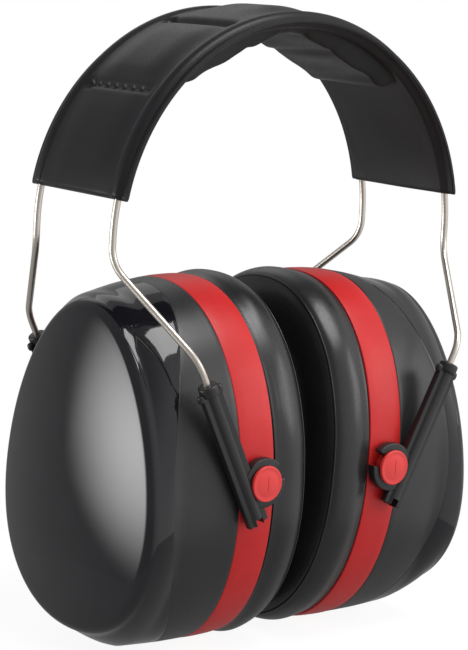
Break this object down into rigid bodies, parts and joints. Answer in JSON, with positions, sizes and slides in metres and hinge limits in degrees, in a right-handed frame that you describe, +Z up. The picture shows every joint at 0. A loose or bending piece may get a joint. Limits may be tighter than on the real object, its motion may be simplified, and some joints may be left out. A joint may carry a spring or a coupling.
{
  "type": "earmuff hearing protector",
  "caption": "Over-the-head earmuff hearing protector with deep double-casing cups, sealing cushions and a padded twin-wire headband.",
  "frame": {"origin": "midway between the two cups' pivot axes, at their height: the middle of the wearer's head at ear level", "axes": "+X from ear to ear, -Y the front, +Z up to the crown"},
  "size_m": [0.1422, 0.1016, 0.2057],
  "materials": {
    "cover": "smooth satin vinyl",
    "lining": "soft satin vinyl",
    "foam": "open-cell foam",
    "wire": "satin stainless spring wire",
    "arm": "satin moulded",
    "stud": "satin gloss",
    "cap": "high gloss",
    "shell": "satin moulded",
    "band": "satin moulded",
    "casing": "matte moulded",
    "cushion": "smooth soft vinyl"
  },
  "bodies": {
    "headband": {"headband_cover": "cover", "headband_lining": "lining", "headband_pad": "foam"},
    "left_wires": {"left_front_wire": "wire", "left_rear_wire": "wire"},
    "left_yoke": {"left_front_arm": "arm", "left_rear_arm": "arm"},
    "left_cup": {"left_front_stud": "stud", "left_rear_stud": "stud", "left_outer_cap": "cap", "left_cup_shell": "shell", "left_band": "band", "left_inner_casing": "casing", "left_foam_insert": "foam", "left_foam_liner": "foam", "left_cushion_plate": "casing", "left_cushion_skin": "cushion", "left_cushion_foam": "foam"},
    "right_wires": {"right_front_wire": "wire", "right_rear_wire": "wire"},
    "right_yoke": {"right_front_arm": "arm", "right_rear_arm": "arm"},
    "right_cup": {"right_front_stud": "stud", "right_rear_stud": "stud", "right_outer_cap": "cap", "right_cup_shell": "shell", "right_band": "band", "right_inner_casing": "casing", "right_foam_insert": "foam", "right_foam_liner": "foam", "right_cushion_plate": "casing", "right_cushion_skin": "cushion", "right_cushion_foam": "foam"}
  },
  "joints": [
    {"name": "left_spread", "type": "hinge", "parent": "headband", "child": "left_wires", "pos_m": [0, 0, 0.1421], "axis": [0, 1, 0], "range_deg": [0, 28], "stiffness_Nm_per_rad": 3, "deforming": ["headband_cover", "headband_lining", "headband_pad"]},
    {"name": "left_height", "type": "slide", "parent": "left_wires", "child": "left_yoke", "axis": [0.4462, 0, -0.8949], "range_m": [0, 0.025], "deforming": ["left_cushion_skin", "left_cushion_foam"]},
    {"name": "left_tilt", "type": "hinge", "parent": "left_yoke", "child": "left_cup", "pos_m": [-0.0264, 0, 0], "axis": [0, 1, 0], "range_deg": [-8, 8]},
    {"name": "right_spread", "type": "hinge", "parent": "headband", "child": "right_wires", "pos_m": [0, 0, 0.1421], "axis": [0, -1, 0], "range_deg": [0, 28], "stiffness_Nm_per_rad": 3},
    {"name": "right_height", "type": "slide", "parent": "right_wires", "child": "right_yoke", "axis": [-0.4462, 0, -0.8949], "range_m": [0, 0.025], "deforming": ["right_cushion_skin", "right_cushion_foam"]},
    {"name": "right_tilt", "type": "hinge", "parent": "right_yoke", "child": "right_cup", "pos_m": [0.0264, 0, 0], "axis": [0, 1, 0], "range_deg": [-8, 8]}
  ]
}
